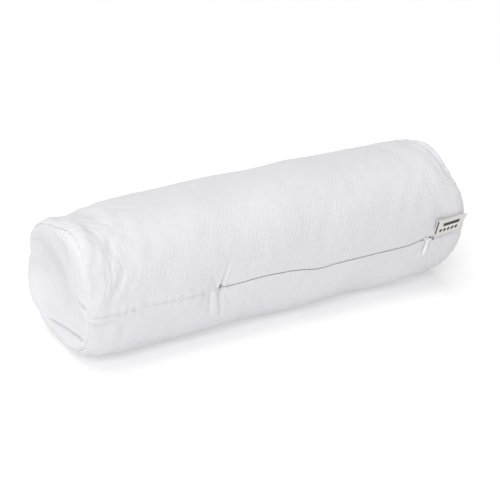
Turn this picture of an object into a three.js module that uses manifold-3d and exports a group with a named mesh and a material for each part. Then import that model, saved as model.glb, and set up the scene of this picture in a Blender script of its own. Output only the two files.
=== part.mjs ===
// Bolster pillow: a zipped fabric cover around a stuffed inner casing.
// Millimetres, +Z up. The long axis is X, and the origin is on the floor under the body's middle.
// The zip lies along the -Y side, and the woven label is at the +X end of the same seam.
import * as THREE from 'three';
import { mergeVertices } from 'three/addons/utils/BufferGeometryUtils.js';
import Module from 'manifold-3d';

const wasm = await Module();
wasm.setup();

// Body: a superelliptic roll that has settled a little on its underside
const LENGTH = 450;
const WIDTH = 157;
const HEIGHT = 149;
const SETTLE = 1;
const EXPONENT = 2.32;
const HALF_WIDTH = WIDTH / 2;
const HALF_HEIGHT = (HEIGHT + SETTLE) / 2;
const AXIS_HEIGHT = HALF_HEIGHT - SETTLE;
const RING_STEPS = 48;
const GAP = 0.3;

// Cover: the outer bag
const COVER_CLOTH = 1.2;
const COVER_SHOULDER = 12;
const COVER_PUCKER = 4;
const COVER_DOME = 3;
const SEAM_ALLOWANCE = 8;

// Casing: the sewn bag that holds the filling
const CASING_CLOTH = 0.8;
const CASING_INSET = 3.4;
const CASING_RIM = 214;
const CASING_SHOULDER = 20;
const CASING_PUCKER = 8;
const CASING_DOME = 10;
const FILL_CLEARANCE = 0.5;
const FILL_RIM = 202;
const FILL_SHOULDER = 24;
const FILL_PUCKER = 10;
const FILL_DOME = 8;
const THREAD = 0.6;

// Side seam: its height on the -Y side, and the strip about it that is flat
const SEAM_DROP = 0.082;
const SEAM_FLAT = 11;
const GROOVE_HALF = 6.8;
const GROOVE_SLOPE = 1;
const GROOVE_DEPTH = 4.8;

// Zip: x is along the seam, u is up across it and n is out of the cloth, with 0 on its outer face
const SLIT_LEFT = -78;
const SLIT_RIGHT = 183;
const SLIT_WIDTH = 2.4;
const EYE_LENGTH = 11.5;
const EYE_WIDTH = 9.2;
const TAPE_LEFT = -93;
const TAPE_RIGHT = 197;
const TAPE_THICK = 0.5;
const TAPE_EDGE = 12.5;
const TAPE_INNER = 0.9;
const CHAIN_FLOOR = -5.3;
const TAPE_HIGH = -2.65;
const TAPE_STITCH = 9;
const COIL_THICK = 2;
const COIL_WIDTH = 1.65;
const COIL_MESHED = 0.15;
const COIL_SPLAYED = 0.9;
const COIL_LEFT = -77.7;
const COIL_RIGHT = 181;
const COIL_PARTING = -2.8;
const COIL_PARTED = 1.2;
const STOP_LENGTH = 1.8;
const STOP_RISE = 0.3;
const STOP_LAP = 0.2;
const STOP_GAP = 0.7;

// Slider: parked at the +X end, and its wide mouth faces the top stops
const SLIDER_X = 177;
const SLIDER_LENGTH = 8.5;
const SLIDER_REAR = 6;
const SLIDER_MOUTH = 7.9;
const SLIDER_WALL = 0.75;
const PLATE = 1;
const SLIDER_TOP = -1.6;
const BRIDGE_SPAN = 7.2;
const BRIDGE_BAR = 0.9;
const BRIDGE_LEG = 1.2;
const BRIDGE_TOP = 2.6;
const BRIDGE_ROUND = 1.4;
const BRIDGE_CHAMFER = 0.5;
const TAB_LENGTH = 18;
const TAB_WIDTH = 3.6;
const TAB_THICK = 0.9;
const TAB_WIDEST = 0.72;
const TAB_SHOULDER = 2.5;
const TAB_LEAN = THREE.MathUtils.degToRad(18);
const EYELET_HOLE = 1.1;
const EYELET_RADIUS = 1.8;
const EYELET_WIDTH = 1.8;

// Label: a woven strip folded at its top, with both ends caught in the seam
const LABEL_LEFT = 186.5;
const LABEL_LENGTH = 37;
const LABEL_HEIGHT = 18.5;
const LABEL_THICK = 0.35;

const FABRIC = { color: 0xe9e8ec, roughness: 0.92, metalness: 0 };
const CASING_FABRIC = { color: 0xf1efe9, roughness: 0.95, metalness: 0 };
const FIBRE = { color: 0xf7f7f5, roughness: 1, metalness: 0 };
const THREAD_WHITE = { color: 0xf4f4f6, roughness: 0.7, metalness: 0 };
const TAPE_WHITE = { color: 0xeeeeef, roughness: 0.85, metalness: 0 };
const NYLON = { color: 0xf3f3f4, roughness: 0.4, metalness: 0 };
const ENAMEL = { color: 0xf2f2f3, roughness: 0.25, metalness: 0.1 };
const LABEL_WEAVE = { color: 0xb3aca3, roughness: 0.75, metalness: 0 };

const pillow = new THREE.Group();

// The seam's own frame: its X is along the seam, Y is up across it and Z is out of the cloth
const seamReach = (Math.cos(SEAM_DROP) ** EXPONENT + Math.sin(SEAM_DROP) ** EXPONENT) ** (-1 / EXPONENT);
const seamOut = seamReach * Math.cos(SEAM_DROP);
const seamDown = seamReach * Math.sin(SEAM_DROP);
const seamTilt = Math.atan2(
  seamDown ** (EXPONENT - 1) / HALF_HEIGHT,
  seamOut ** (EXPONENT - 1) / HALF_WIDTH,
);
const seam = new THREE.Group();
seam.position.set(0, -HALF_WIDTH * seamOut, AXIS_HEIGHT - HALF_HEIGHT * seamDown);
seam.rotation.x = Math.PI / 2 + seamTilt;
seam.updateMatrix();
pillow.add(seam);

function place(parent, name, geometry, look) {
  const mesh = new THREE.Mesh(geometry, new THREE.MeshStandardMaterial(look));
  mesh.name = name;
  parent.add(mesh);
  return mesh;
}

function weld(geometry) {
  const bare = geometry.clone();
  bare.deleteAttribute('normal');
  bare.deleteAttribute('uv');
  return mergeVertices(bare, 1e-4);
}

function solid(geometry) {
  const merged = weld(geometry);
  return new wasm.Manifold(new wasm.Mesh({
    numProp: 3,
    vertProperties: new Float32Array(merged.attributes.position.array),
    triVerts: new Uint32Array(merged.index.array),
  }));
}

function toGeometry(manifold) {
  const { vertProperties, triVerts } = manifold.getMesh();
  const geometry = new THREE.BufferGeometry();
  geometry.setAttribute('position', new THREE.BufferAttribute(vertProperties, 3));
  geometry.setIndex(new THREE.BufferAttribute(triVerts, 1));
  geometry.computeVertexNormals();
  return geometry;
}

// A skin over rings of equal point count. It closes on itself, or ends in two fans.
function skin(rings, closesOnItself) {
  const count = rings[0].length;
  const points = rings.flat();
  const faces = [];
  const spans = closesOnItself ? rings.length : rings.length - 1;
  for (let i = 0; i < spans; i += 1) {
    const here = i * count;
    const next = ((i + 1) % rings.length) * count;
    for (let j = 0; j < count; j += 1) {
      const k = (j + 1) % count;
      faces.push(here + j, here + k, next + k, here + j, next + k, next + j);
    }
  }
  if (!closesOnItself) {
    const last = (rings.length - 1) * count;
    const start = points.push(centreOf(rings[0])) - 1;
    const end = points.push(centreOf(rings.at(-1))) - 1;
    for (let j = 0; j < count; j += 1) {
      const k = (j + 1) % count;
      faces.push(start, k, j, end, last + j, last + k);
    }
  }
  const geometry = new THREE.BufferGeometry().setFromPoints(points);
  geometry.setIndex(faces);
  geometry.computeVertexNormals();
  return geometry;
}

function centreOf(ring) {
  const sum = ring.reduce((total, point) => total.add(point), new THREE.Vector3());
  return sum.divideScalar(ring.length);
}

// One cross-section of the roll at x, inset from the cover's outer face. It starts a step below
// the seam and ends a step above it, where `strip` takes over: its points across the seam are
// [u, n], from the top down. `shrink` draws the ring in to its centre.
function ring(x, inset, strip, shrink = 1) {
  const points = [];
  for (let step = 1; step < RING_STEPS - 1; step += 1) {
    const turn = Math.PI + SEAM_DROP + (2 * Math.PI * (step + 0.5)) / RING_STEPS;
    const c = Math.cos(turn);
    const s = Math.sin(turn);
    const reach = (Math.abs(c) ** EXPONENT + Math.abs(s) ** EXPONENT) ** (-1 / EXPONENT);
    const y = (HALF_WIDTH - inset) * reach * c;
    const z = AXIS_HEIGHT + (HALF_HEIGHT - inset) * reach * s;
    points.push(new THREE.Vector3(x, y, Math.max(z, inset)));
  }
  for (const [u, n] of strip) {
    points.push(new THREE.Vector3(x, u, n - inset).applyMatrix4(seam.matrix).setX(x));
  }
  const centre = new THREE.Vector3(x, 0, AXIS_HEIGHT);
  return points.map((point) => point.sub(centre).multiplyScalar(shrink).add(centre));
}

const flatStrip = [SEAM_FLAT, SEAM_FLAT / 2, 2, -2, -SEAM_FLAT / 2, -SEAM_FLAT].map((u) => [u, 0]);

// The strip of an inner layer, with a groove that leaves room for the zip chain
function groovedStrip(spread) {
  const bottom = GROOVE_HALF + spread;
  const top = bottom + GROOVE_SLOPE;
  return [
    [SEAM_FLAT, 0],
    [top, 0],
    [bottom, -GROOVE_DEPTH],
    [-bottom, -GROOVE_DEPTH],
    [-top, 0],
    [-SEAM_FLAT, 0],
  ];
}

// Stations from the middle of the roll out to its rim: [x, extra inset]
function shoulder(rim, length, pucker) {
  return [0, 0.5, 0.8, 0.95, 1].map((t) => [
    rim - length + length * t,
    pucker * (1 - Math.sqrt(1 - t * t)),
  ]);
}

function bothEnds(stations) {
  return [...stations.map(([x, inset]) => [-x, inset]).reverse(), ...stations];
}

// An open-ended cloth tube
function clothTube(rim, length, pucker, inset, cloth, strip, innerStrip) {
  const stations = bothEnds(shoulder(rim, length, pucker));
  const outside = stations.map(([x, extra]) => ring(x, inset + extra, strip));
  const inside = stations.map(([x, extra]) => ring(x, inset + cloth + extra, innerStrip));
  return skin([...outside, ...inside.reverse()], true);
}

// A cloth disc with its edge turned in along the tube, at the end given by `side`
function endDisc(side, rim, inset, cloth, dome, strip, innerStrip) {
  const domed = [0.12, 0.45, 0.75, 1];
  const bulge = (q) => dome * (1 - q * q);
  const rings = [
    ...domed.map((q) => ring(side * (rim - cloth + bulge(q)), inset + cloth, innerStrip, q)),
    ring(side * (rim - SEAM_ALLOWANCE), inset + cloth, innerStrip),
    ring(side * (rim - SEAM_ALLOWANCE), inset, strip),
    ...domed.reverse().map((q) => ring(side * (rim + bulge(q)), inset, strip, q)),
  ];
  return skin(side > 0 ? rings : rings.reverse(), false);
}

// One thread that runs once around the roll
function threadRing(x, inset, strip, innerStrip) {
  const near = x - THREAD / 2;
  const far = x + THREAD / 2;
  return skin([
    ring(near, inset, strip),
    ring(far, inset, strip),
    ring(far, inset + THREAD, innerStrip),
    ring(near, inset + THREAD, innerStrip),
  ], true);
}

// A box in the seam's frame, from its low corner to its high corner
function bar(x0, x1, u0, u1, n0, n1) {
  const box = new THREE.BoxGeometry(x1 - x0, u1 - u0, n1 - n0);
  return box.translate((x0 + x1) / 2, (u0 + u1) / 2, (n0 + n1) / 2);
}

// A strip of constant thickness that follows [u, n] points, drawn out along X
function ribbon(path, thickness, x0, x1) {
  const line = path.map(([u, n]) => new THREE.Vector2(u, n));
  const across = line.map((point, i) => {
    const before = line[Math.max(i - 1, 0)];
    const after = line[Math.min(i + 1, line.length - 1)];
    const along = after.clone().sub(before).normalize();
    return new THREE.Vector2(-along.y, along.x).multiplyScalar(thickness / 2);
  });
  const left = line.map((point, i) => point.clone().add(across[i]));
  const right = line.map((point, i) => point.clone().sub(across[i])).reverse();
  const outline = new THREE.Shape([...left, ...right]);
  const geometry = new THREE.ExtrudeGeometry(outline, { depth: x1 - x0, bevelEnabled: false });
  const axes = new THREE.Matrix4().makeBasis(
    new THREE.Vector3(0, 1, 0),
    new THREE.Vector3(0, 0, 1),
    new THREE.Vector3(1, 0, 0),
  );
  return geometry.applyMatrix4(axes).translate(x0, 0, 0);
}

// A flat plate in the seam's frame, from an outline of [x, u] points
function plate(outline, n0, n1) {
  const shape = new THREE.Shape(outline.map(([x, u]) => new THREE.Vector2(x, u)));
  const geometry = new THREE.ExtrudeGeometry(shape, { depth: n1 - n0, bevelEnabled: false });
  return geometry.translate(0, 0, n0);
}

function addCover() {
  const tube = solid(clothTube(
    LENGTH / 2, COVER_SHOULDER, COVER_PUCKER, 0, COVER_CLOTH, flatStrip, flatStrip,
  ));
  const slit = bar(SLIT_LEFT, SLIT_RIGHT, -SLIT_WIDTH / 2, SLIT_WIDTH / 2, -2 * COVER_CLOTH, 1);
  const eye = new THREE.CylinderGeometry(EYE_WIDTH / 2, EYE_WIDTH / 2, 3 * COVER_CLOTH, 24);
  eye.rotateX(Math.PI / 2).scale(EYE_LENGTH / EYE_WIDTH, 1, 1).translate(SLIDER_X, 0, -COVER_CLOTH / 2);
  const opening = solid(slit.applyMatrix4(seam.matrix)).add(solid(eye.applyMatrix4(seam.matrix)));
  place(pillow, 'cover_body_panel', toGeometry(tube.subtract(opening)), FABRIC);

  const inset = COVER_PUCKER + COVER_CLOTH + GAP;
  const threadX = LENGTH / 2 - SEAM_ALLOWANCE / 2;
  const threadInset = inset + COVER_CLOTH + GAP;
  for (const [word, side] of [['left', -1], ['right', 1]]) {
    const disc = endDisc(side, LENGTH / 2, inset, COVER_CLOTH, COVER_DOME, flatStrip, flatStrip);
    place(pillow, `cover_end_${word}`, disc, FABRIC);
    const loop = threadRing(side * threadX, threadInset, flatStrip, flatStrip);
    place(pillow, `end_seam_thread_${word}`, loop, THREAD_WHITE);
  }
}

// The closed stretches of the side seam, either side of the zip opening
function addSideSeam() {
  const low = -COVER_CLOTH - GAP - THREAD;
  const high = -COVER_CLOTH - GAP;
  const end = LENGTH / 2 - COVER_SHOULDER;
  const left = bar(-end, SLIT_LEFT - 3, -THREAD / 2, THREAD / 2, low, high);
  const right = bar(SLIT_RIGHT + 3, end, -THREAD / 2, THREAD / 2, low, high);
  place(seam, 'side_seam_thread_left', left, THREAD_WHITE);
  place(seam, 'side_seam_thread_right', right, THREAD_WHITE);

  const tackLength = 1.6;
  const tackHeight = 8;
  for (const [word, x] of [['left', SLIT_LEFT - 1], ['right', SLIT_RIGHT + 1.6]]) {
    const tack = bar(
      x - tackLength / 2, x + tackLength / 2, -tackHeight / 2, tackHeight / 2, GAP, GAP + THREAD,
    );
    place(seam, `bar_tack_${word}`, tack, THREAD_WHITE);
  }
}

function addTape(word, up) {
  const low = CHAIN_FLOOR - TAPE_THICK / 2;
  const path = [
    [TAPE_INNER, low],
    [4.4, low],
    [5.2, low + 0.6],
    [6.2, TAPE_HIGH - 0.6],
    [7, TAPE_HIGH],
    [TAPE_EDGE, TAPE_HIGH],
  ];
  const turned = path.map(([u, n]) => [up * u, n]);
  const ordered = up > 0 ? turned : turned.reverse();
  place(seam, `zip_tape_${word}`, ribbon(ordered, TAPE_THICK, TAPE_LEFT, TAPE_RIGHT), TAPE_WHITE);

  const stitch = bar(
    SLIT_LEFT, SLIT_RIGHT,
    up * TAPE_STITCH - THREAD / 2, up * TAPE_STITCH + THREAD / 2,
    -COVER_CLOTH - GAP - THREAD, -COVER_CLOTH - GAP,
  );
  place(seam, `zip_stitch_${word}`, stitch, THREAD_WHITE);
}

// A coil row lies against its partner behind the slider and stands apart in the slider's mouth
function addCoil(word, up) {
  const path = [
    [COIL_LEFT, COIL_MESHED],
    [SLIDER_X + COIL_PARTING, COIL_MESHED],
    [SLIDER_X + COIL_PARTED, COIL_SPLAYED],
    [COIL_RIGHT, COIL_SPLAYED],
  ];
  const inner = path.map(([x, u]) => [x, up * u]);
  const outer = path.map(([x, u]) => [x, up * (u + COIL_WIDTH)]).reverse();
  const row = plate([...inner, ...outer], CHAIN_FLOOR + GAP, CHAIN_FLOOR + GAP + COIL_THICK);
  place(seam, `zip_coil_${word}`, row, NYLON);

  const stopLeft = COIL_RIGHT + STOP_GAP;
  const edges = [up * (COIL_SPLAYED - STOP_LAP), up * (COIL_SPLAYED + COIL_WIDTH + STOP_LAP)];
  const stop = bar(
    stopLeft, stopLeft + STOP_LENGTH, Math.min(...edges), Math.max(...edges),
    CHAIN_FLOOR + GAP, CHAIN_FLOOR + GAP + COIL_THICK + STOP_RISE,
  );
  place(seam, `zip_top_stop_${word}`, stop, NYLON);
}

function addZip() {
  for (const [word, up] of [['upper', 1], ['lower', -1]]) {
    addTape(word, up);
    addCoil(word, up);
  }
  const half = COIL_MESHED + COIL_WIDTH + STOP_LAP;
  const stopRight = COIL_LEFT - GAP;
  const stop = bar(
    stopRight - STOP_LENGTH, stopRight, -half, half,
    CHAIN_FLOOR + GAP, CHAIN_FLOOR + GAP + COIL_THICK + STOP_RISE,
  );
  place(seam, 'zip_bottom_stop', stop, NYLON);
}

// A plan of the slider: narrow behind, wide at the mouth, with its corners cut
function sliderPlan(rear, mouth, length, corner) {
  const x = length / 2;
  const upper = [
    [-x, rear / 2 - corner],
    [-x + corner, rear / 2],
    [x - corner, mouth / 2],
    [x, mouth / 2 - corner],
  ];
  const lower = upper.map(([a, b]) => [a, -b]);
  return [...lower, ...upper.reverse()];
}

// The arch that the pull tab hangs from, standing through the slit
function bridge() {
  const out = BRIDGE_SPAN / 2;
  const within = out - BRIDGE_LEG;
  const foot = SLIDER_TOP - PLATE / 2;
  const soffit = BRIDGE_TOP - BRIDGE_BAR;
  const outline = new THREE.Shape();
  outline.moveTo(-out, foot);
  outline.lineTo(-within, foot);
  outline.lineTo(-within, soffit - BRIDGE_CHAMFER);
  outline.lineTo(-within + BRIDGE_CHAMFER, soffit);
  outline.lineTo(within - BRIDGE_CHAMFER, soffit);
  outline.lineTo(within, soffit - BRIDGE_CHAMFER);
  outline.lineTo(within, foot);
  outline.lineTo(out, foot);
  outline.lineTo(out, BRIDGE_TOP - BRIDGE_ROUND);
  outline.quadraticCurveTo(out, BRIDGE_TOP, out - BRIDGE_ROUND, BRIDGE_TOP);
  outline.lineTo(-out + BRIDGE_ROUND, BRIDGE_TOP);
  outline.quadraticCurveTo(-out, BRIDGE_TOP, -out, BRIDGE_TOP - BRIDGE_ROUND);
  const arch = new THREE.ExtrudeGeometry(outline, {
    depth: BRIDGE_BAR, bevelEnabled: false, curveSegments: 5,
  });
  return arch.translate(0, 0, -BRIDGE_BAR / 2).rotateX(Math.PI / 2);
}

function addSlider() {
  const slider = new THREE.Group();
  slider.position.x = SLIDER_X;
  seam.add(slider);

  const wallFoot = CHAIN_FLOOR + GAP;
  const bottom = CHAIN_FLOOR - TAPE_THICK - GAP;
  const plan = sliderPlan(SLIDER_REAR, SLIDER_MOUTH, SLIDER_LENGTH, 0.8);
  const channelPlan = sliderPlan(
    SLIDER_REAR - 2 * SLIDER_WALL, SLIDER_MOUTH - 2 * SLIDER_WALL, SLIDER_LENGTH + 1, 0.01,
  );
  const wedgePlan = [[0.6, 0], [2, -0.6], [3.9, -0.6], [3.9, 0.6], [2, 0.6]];
  const shell = solid(plate(plan, wallFoot, SLIDER_TOP));
  const channel = solid(plate(channelPlan, wallFoot - 1, SLIDER_TOP - PLATE));
  const body = shell.subtract(channel)
    .add(solid(plate(plan, bottom - PLATE, bottom)))
    .add(solid(plate(wedgePlan, bottom - PLATE / 2, SLIDER_TOP - PLATE / 2)))
    .add(solid(bridge()));
  place(slider, 'zip_slider_body', toGeometry(body), ENAMEL);

  const tab = new THREE.Group();
  tab.position.z = BRIDGE_TOP - BRIDGE_BAR / 2;
  tab.rotation.z = -TAB_LEAN;
  slider.add(tab);
  place(tab, 'zip_pull_tab', toGeometry(solid(leaf()).add(solid(eyelet()))), ENAMEL);
}

// The leaf of the pull tab hangs along -Y from its eyelet
function leaf() {
  const neck = EYELET_WIDTH / 2;
  const start = -(EYELET_HOLE + EYELET_RADIUS) / 2;
  const widest = -TAB_WIDEST * TAB_LENGTH;
  const outline = new THREE.Shape();
  outline.moveTo(neck, start);
  outline.lineTo(-neck, start);
  outline.quadraticCurveTo(-neck, start - TAB_SHOULDER, -TAB_WIDTH / 2, widest);
  outline.quadraticCurveTo(-TAB_WIDTH / 2, -TAB_LENGTH, 0, -TAB_LENGTH);
  outline.quadraticCurveTo(TAB_WIDTH / 2, -TAB_LENGTH, TAB_WIDTH / 2, widest);
  outline.quadraticCurveTo(neck, start - TAB_SHOULDER, neck, start);
  const blade = new THREE.ExtrudeGeometry(outline, {
    depth: TAB_THICK, bevelEnabled: false, curveSegments: 8,
  });
  return blade.translate(0, 0, -TAB_THICK / 2);
}

function eyelet() {
  const half = EYELET_WIDTH / 2;
  const section = [
    [EYELET_HOLE, -half],
    [EYELET_RADIUS, -half],
    [EYELET_RADIUS, half],
    [EYELET_HOLE, half],
    [EYELET_HOLE, -half],
  ].map(([r, y]) => new THREE.Vector2(r, y));
  return new THREE.LatheGeometry(section, 24).rotateZ(Math.PI / 2);
}

function addLabel() {
  const back = 0.65;
  const front = 1.35;
  const root = 0.5;
  const path = [
    [root, back],
    [LABEL_HEIGHT - 1, back + 0.15],
    [LABEL_HEIGHT - 0.3, back + 0.25],
    [LABEL_HEIGHT, (back + front) / 2 + 0.2],
    [LABEL_HEIGHT - 0.3, front + 0.25],
    [LABEL_HEIGHT - 1, front + 0.35],
    [root, front],
  ];
  const strip = ribbon(path, LABEL_THICK, LABEL_LEFT, LABEL_LEFT + LABEL_LENGTH);
  place(seam, 'woven_label', strip, LABEL_WEAVE);
}

function addCasing() {
  const tube = clothTube(
    CASING_RIM, CASING_SHOULDER, CASING_PUCKER, CASING_INSET, CASING_CLOTH,
    groovedStrip(0), groovedStrip(CASING_CLOTH),
  );
  place(pillow, 'casing_body', tube, CASING_FABRIC);

  const inset = CASING_INSET + CASING_PUCKER + CASING_CLOTH + GAP;
  const threadInset = inset + CASING_CLOTH + GAP;
  const threadX = CASING_RIM - SEAM_ALLOWANCE / 2;
  const discStrips = [CASING_CLOTH + GAP, 2 * CASING_CLOTH + GAP].map(groovedStrip);
  const threadSpread = 2 * (CASING_CLOTH + GAP);
  const threadStrips = [threadSpread, threadSpread + THREAD].map(groovedStrip);
  for (const [word, side] of [['left', -1], ['right', 1]]) {
    const disc = endDisc(side, CASING_RIM, inset, CASING_CLOTH, CASING_DOME, ...discStrips);
    place(pillow, `casing_end_${word}`, disc, CASING_FABRIC);
    const loop = threadRing(side * threadX, threadInset, ...threadStrips);
    place(pillow, `casing_end_thread_${word}`, loop, THREAD_WHITE);
  }
  addClosingSeam();
}

// The hand-closed seam of the casing runs along its top
function addClosingSeam() {
  const top = AXIS_HEIGHT + HALF_HEIGHT - CASING_INSET;
  const run = 2 * (CASING_RIM - CASING_SHOULDER);
  const thread = new THREE.BoxGeometry(run, THREAD, THREAD).translate(0, 0, top + GAP + THREAD / 2);
  place(pillow, 'casing_closing_thread', thread, THREAD_WHITE);
}

function addFilling() {
  const inset = CASING_INSET + CASING_CLOTH + FILL_CLEARANCE;
  const strip = groovedStrip(CASING_CLOTH + FILL_CLEARANCE);
  const barrel = bothEnds(shoulder(FILL_RIM, FILL_SHOULDER, FILL_PUCKER));
  const dome = [0.75, 0.45, 0.12];
  const crown = (q) => FILL_RIM + FILL_DOME * (1 - q * q);
  const last = inset + FILL_PUCKER;
  place(pillow, 'fibre_fill', skin([
    ...dome.toReversed().map((q) => ring(-crown(q), last, strip, q)),
    ...barrel.map(([x, extra]) => ring(x, inset + extra, strip)),
    ...dome.map((q) => ring(crown(q), last, strip, q)),
  ], false), FIBRE);
}

addCover();
addSideSeam();
addZip();
addSlider();
addLabel();
addCasing();
addFilling();

export default pillow;
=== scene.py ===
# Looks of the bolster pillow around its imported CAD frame. Shapes are worked out in millimetres.
import math

import bpy
import numpy as np
from mathutils import Matrix, Vector


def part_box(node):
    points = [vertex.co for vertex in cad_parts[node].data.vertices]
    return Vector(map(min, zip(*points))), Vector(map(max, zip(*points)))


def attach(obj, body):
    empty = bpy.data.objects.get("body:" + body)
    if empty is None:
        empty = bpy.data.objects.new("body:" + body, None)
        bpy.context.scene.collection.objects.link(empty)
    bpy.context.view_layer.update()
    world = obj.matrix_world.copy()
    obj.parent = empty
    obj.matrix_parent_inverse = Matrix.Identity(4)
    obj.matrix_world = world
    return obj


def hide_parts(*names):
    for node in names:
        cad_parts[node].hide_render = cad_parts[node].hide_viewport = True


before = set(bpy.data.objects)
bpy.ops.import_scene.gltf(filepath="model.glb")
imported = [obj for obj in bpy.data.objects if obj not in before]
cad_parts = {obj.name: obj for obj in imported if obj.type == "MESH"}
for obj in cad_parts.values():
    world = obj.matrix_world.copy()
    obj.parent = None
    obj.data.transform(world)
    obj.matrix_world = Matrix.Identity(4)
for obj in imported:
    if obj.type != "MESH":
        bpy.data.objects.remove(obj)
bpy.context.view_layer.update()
MM = 0.001

# ---- Roll: the CAD cover's section, and where its seam lies ----
PANEL_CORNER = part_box("cover_body_panel")[1] / MM
HALF_LENGTH = PANEL_CORNER.x
HALF_WIDTH = PANEL_CORNER.y
SETTLE = 1.0  # how far the round section would reach below the floor, where it is flattened
HALF_HEIGHT = (PANEL_CORNER.z + SETTLE) / 2
AXIS_HEIGHT = HALF_HEIGHT - SETTLE
EXPONENT = 2.32  # of the section's superellipse
SEAM_DROP = 0.082  # the seam's turn below the widest line, in radians
SHOULDER = 12.0
PUCKER = 4.0  # how far each rim is turned in
CLOTH = 0.5
FOLD_RADIUS = 0.55
SECTION_STEPS = 4096

# ---- Zip: x along the seam, u up across it, n out of the cloth ----
SLIDER_X = (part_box("zip_slider_body")[0].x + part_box("zip_slider_body")[1].x) / 2 / MM
ZIP_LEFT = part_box("zip_stitch_upper")[0].x / MM
ZIP_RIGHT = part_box("zip_stitch_upper")[1].x / MM
TAPE_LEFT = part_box("zip_tape_upper")[0].x / MM
TAPE_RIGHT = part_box("zip_tape_upper")[1].x / MM
COIL_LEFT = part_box("zip_coil_upper")[0].x / MM
COIL_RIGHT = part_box("zip_coil_upper")[1].x / MM


def smooth(start, end, value):
    t = np.clip((value - start) / (end - start), 0.0, 1.0)
    return t * t * (3 - 2 * t)


def blob(value, centre, spread):
    return np.exp(-0.5 * ((value - centre) / spread) ** 2)


def round_blob(s, centre, spread):
    """A blob on the distance round the roll, which wraps at the back."""
    return blob(np.mod(s - centre + GIRTH / 2, GIRTH) - GIRTH / 2, 0, spread)


def sample(field, rows, columns, a, b):
    """A field's value at (a, b), by linear steps between its rising rows and columns."""
    i = np.interp(a, rows, np.arange(len(rows)))
    j = np.interp(b, columns, np.arange(len(columns)))
    low_i = np.minimum(i.astype(int), len(rows) - 2)
    low_j = np.minimum(j.astype(int), len(columns) - 2)
    p, q = i - low_i, j - low_j
    near = field[low_i, low_j] * (1 - q) + field[low_i, low_j + 1] * q
    far = field[low_i + 1, low_j] * (1 - q) + field[low_i + 1, low_j + 1] * q
    return near * (1 - p) + far * p


def blurred(field, passes):
    for _ in range(passes):
        for axis in (0, 1):
            field = (field + np.roll(field, 1, axis) + np.roll(field, -1, axis)) / 3
    return field


# ---- Section table: distance round the roll from the seam, going down, against the turn ----
def section_curve():
    turn = np.pi + SEAM_DROP + np.linspace(0, 2 * np.pi, SECTION_STEPS + 1)
    c, s = np.cos(turn), np.sin(turn)
    reach = (np.abs(c) ** EXPONENT + np.abs(s) ** EXPONENT) ** (-1 / EXPONENT)
    y, z = HALF_WIDTH * reach * c, HALF_HEIGHT * reach * s
    steps = np.hypot(np.diff(y), np.diff(z))
    return turn, np.concatenate([[0], np.cumsum(steps)])


TURNS, ROUND = section_curve()
GIRTH = ROUND[-1]


def section_at(b, inset):
    """The (y, z) and outward normal at distance b round the roll, inset from the cloth's face."""
    turn = np.interp(b, ROUND, TURNS)
    c, s = np.cos(turn), np.sin(turn)
    reach = (np.abs(c) ** EXPONENT + np.abs(s) ** EXPONENT) ** (-1 / EXPONENT)
    y, z = reach * c, reach * s
    ny = np.sign(y) * np.abs(y) ** (EXPONENT - 1) / HALF_WIDTH
    nz = np.sign(z) * np.abs(z) ** (EXPONENT - 1) / HALF_HEIGHT
    size = np.hypot(ny, nz)
    return (HALF_WIDTH - inset) * y, AXIS_HEIGHT + (HALF_HEIGHT - inset) * z, ny / size, nz / size


def above_seam(b):
    """Signed distance from the seam: positive up the front, negative down it."""
    return np.where(b < GIRTH / 2, -b, GIRTH - b)


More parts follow.
